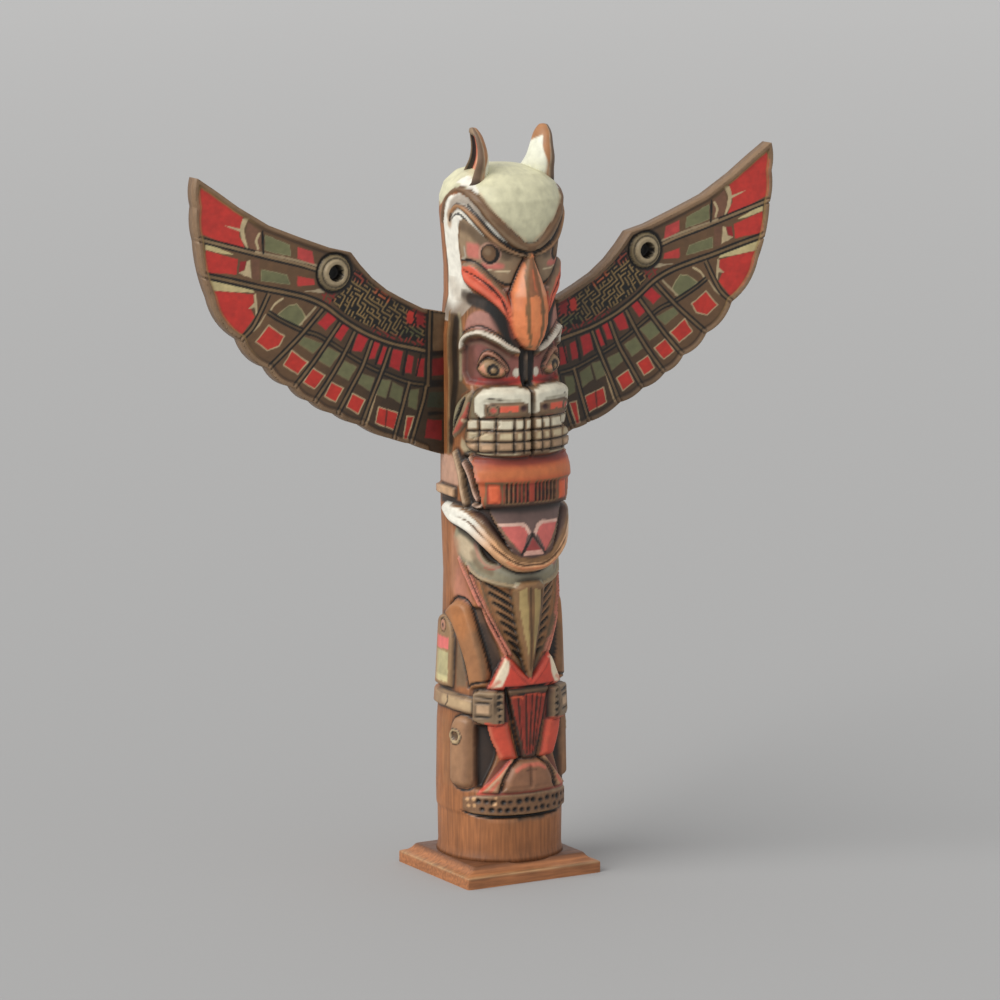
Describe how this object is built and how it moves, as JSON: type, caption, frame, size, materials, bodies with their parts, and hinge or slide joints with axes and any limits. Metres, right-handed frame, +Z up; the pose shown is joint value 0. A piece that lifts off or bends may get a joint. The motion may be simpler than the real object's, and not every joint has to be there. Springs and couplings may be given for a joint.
{
  "type": "totem pole",
  "caption": "Tabletop carved and painted wooden totem pole with an eared bird head, spread feathered wings, a toothed face, a bowl-lipped beaked bird and a small figure on a square foot plate.",
  "frame": {"origin": "middle of the foot plate's underside", "axes": "+Z up along the pole, front of the carving towards -Y, wings spread along X"},
  "size_m": [0.3946, 0.0882, 0.45],
  "materials": {
    "painted_log": "carved wood with brown stain and worn matt paint in cream, salmon, red and olive",
    "painted_wing": "carved wood with brown stain and worn matt paint in red and olive green",
    "stained_base": "stained wood with a soft sheen"
  },
  "bodies": {
    "root": {"pole": "painted_log", "wing_right": "painted_wing", "wing_left": "painted_wing", "base_plate": "stained_base"}
  },
  "joints": []
}
